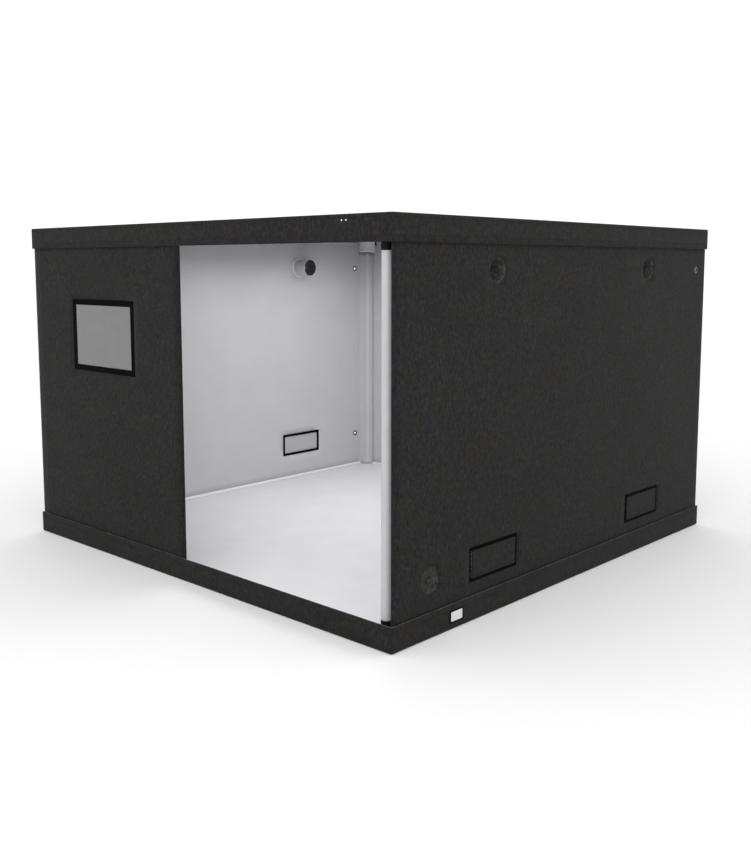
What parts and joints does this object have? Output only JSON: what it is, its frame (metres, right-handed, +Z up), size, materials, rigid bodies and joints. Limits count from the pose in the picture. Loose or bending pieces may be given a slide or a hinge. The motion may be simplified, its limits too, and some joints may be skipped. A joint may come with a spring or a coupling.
{
  "type": "printer enclosure tent",
  "caption": "Low square canvas tent for a desktop 3-D printer: tube frame, white lining, inward-folding door, window, flap vents and duct sleeves.",
  "frame": {"origin": "on the ground under the middle of the base", "axes": "+Z up, +X to the right of someone facing the door, +Y from the door to the back wall"},
  "size_m": [1.1009, 1.1, 0.7],
  "materials": {
    "canvas": "charcoal woven canvas, white film inside",
    "lining": "white coated cloth",
    "tube": "white powder coat",
    "plastic": "moulded black",
    "edge_rod": "white glass-fibre rod in its hem",
    "binding": "black woven tape",
    "window": "grey translucent vinyl",
    "mesh": "fine white net",
    "eyelet": "pressed black eyelet",
    "zip_metal": "black enamelled zip slider",
    "patch": "blank white sewn patch"
  },
  "bodies": {
    "tent": {"base_tray": "canvas", "blank_patch": "patch", "closed_sleeve_right": "canvas", "corner_connector_back_left": "plastic", "corner_connector_back_right": "plastic", "corner_connector_front_left": "plastic", "corner_connector_front_right": "plastic", "door_hinge_piping": "canvas", "duct_sleeve_left_back": "lining", "duct_sleeve_right_back": "lining", "duct_sleeve_right_front": "lining", "duct_sleeve_roof": "lining", "eyelet_left_high": "eyelet", "eyelet_left_low": "eyelet", "eyelet_right_high": "eyelet", "floor_edge_rod_back": "edge_rod", "floor_edge_rod_front": "edge_rod", "floor_edge_rod_left": "edge_rod", "floor_edge_rod_right": "edge_rod", "floor_mat": "lining", "foot_back_left": "plastic", "foot_back_right": "plastic", "foot_front_left": "plastic", "foot_front_right": "plastic", "jamb_zip_tape": "binding", "roof_bar": "tube", "roof_bar_clip_back": "plastic", "roof_bar_clip_front": "plastic", "roof_cap": "canvas", "top_rail_back": "tube", "top_rail_front": "tube", "top_rail_left": "tube", "top_rail_right": "tube", "upright_back_left": "tube", "upright_back_right": "tube", "upright_front_left": "tube", "upright_front_right": "tube", "vent_binding_left_back": "binding", "vent_binding_left_front": "binding", "vent_binding_right_back": "binding", "vent_binding_right_front": "binding", "vent_mesh_left_back": "mesh", "vent_mesh_left_front": "mesh", "vent_mesh_right_back": "mesh", "vent_mesh_right_front": "mesh", "wall_back": "canvas", "wall_front": "canvas", "wall_left": "canvas", "wall_right": "canvas", "window_binding": "binding", "window_pane": "window"},
    "door": {"door_panel": "canvas", "door_zip_tape": "binding"},
    "zip_slider": {"zip_slider": "zip_metal"},
    "zip_pull": {"zip_pull": "zip_metal"},
    "vent_flap_left_back": {"vent_flap_left_back": "canvas"},
    "vent_flap_left_front": {"vent_flap_left_front": "canvas"},
    "vent_flap_right_back": {"vent_flap_right_back": "canvas"},
    "vent_flap_right_front": {"vent_flap_right_front": "canvas"}
  },
  "joints": [
    {"name": "door_swing", "type": "hinge", "parent": "tent", "child": "door", "pos_m": [0, -0.5441, 0.349], "axis": [0, 0, 1], "range_deg": [-175.2, 0]},
    {"name": "zip_slide", "type": "slide", "parent": "door", "child": "zip_slider", "axis": [0, 0, 1], "range_m": [0, 0.585]},
    {"name": "pull_swing", "type": "hinge", "parent": "zip_slider", "child": "zip_pull", "pos_m": [-0.53881, -0.51705, 0.055], "axis": [0.9992, -0.0389, 0], "range_deg": [0, 100]},
    {"name": "vent_flap_left_back_swing", "type": "hinge", "parent": "tent", "child": "vent_flap_left_back", "pos_m": [-0.5472, 0.272, 0.1257], "axis": [0, 1, 0], "range_deg": [0, 170]},
    {"name": "vent_flap_left_front_swing", "type": "hinge", "parent": "tent", "child": "vent_flap_left_front", "pos_m": [-0.5472, -0.272, 0.1257], "axis": [0, 1, 0], "range_deg": [0, 170]},
    {"name": "vent_flap_right_back_swing", "type": "hinge", "parent": "tent", "child": "vent_flap_right_back", "pos_m": [0.5472, 0.272, 0.1257], "axis": [0, -1, 0], "range_deg": [0, 170]},
    {"name": "vent_flap_right_front_swing", "type": "hinge", "parent": "tent", "child": "vent_flap_right_front", "pos_m": [0.5472, -0.272, 0.1257], "axis": [0, -1, 0], "range_deg": [0, 170]}
  ]
}
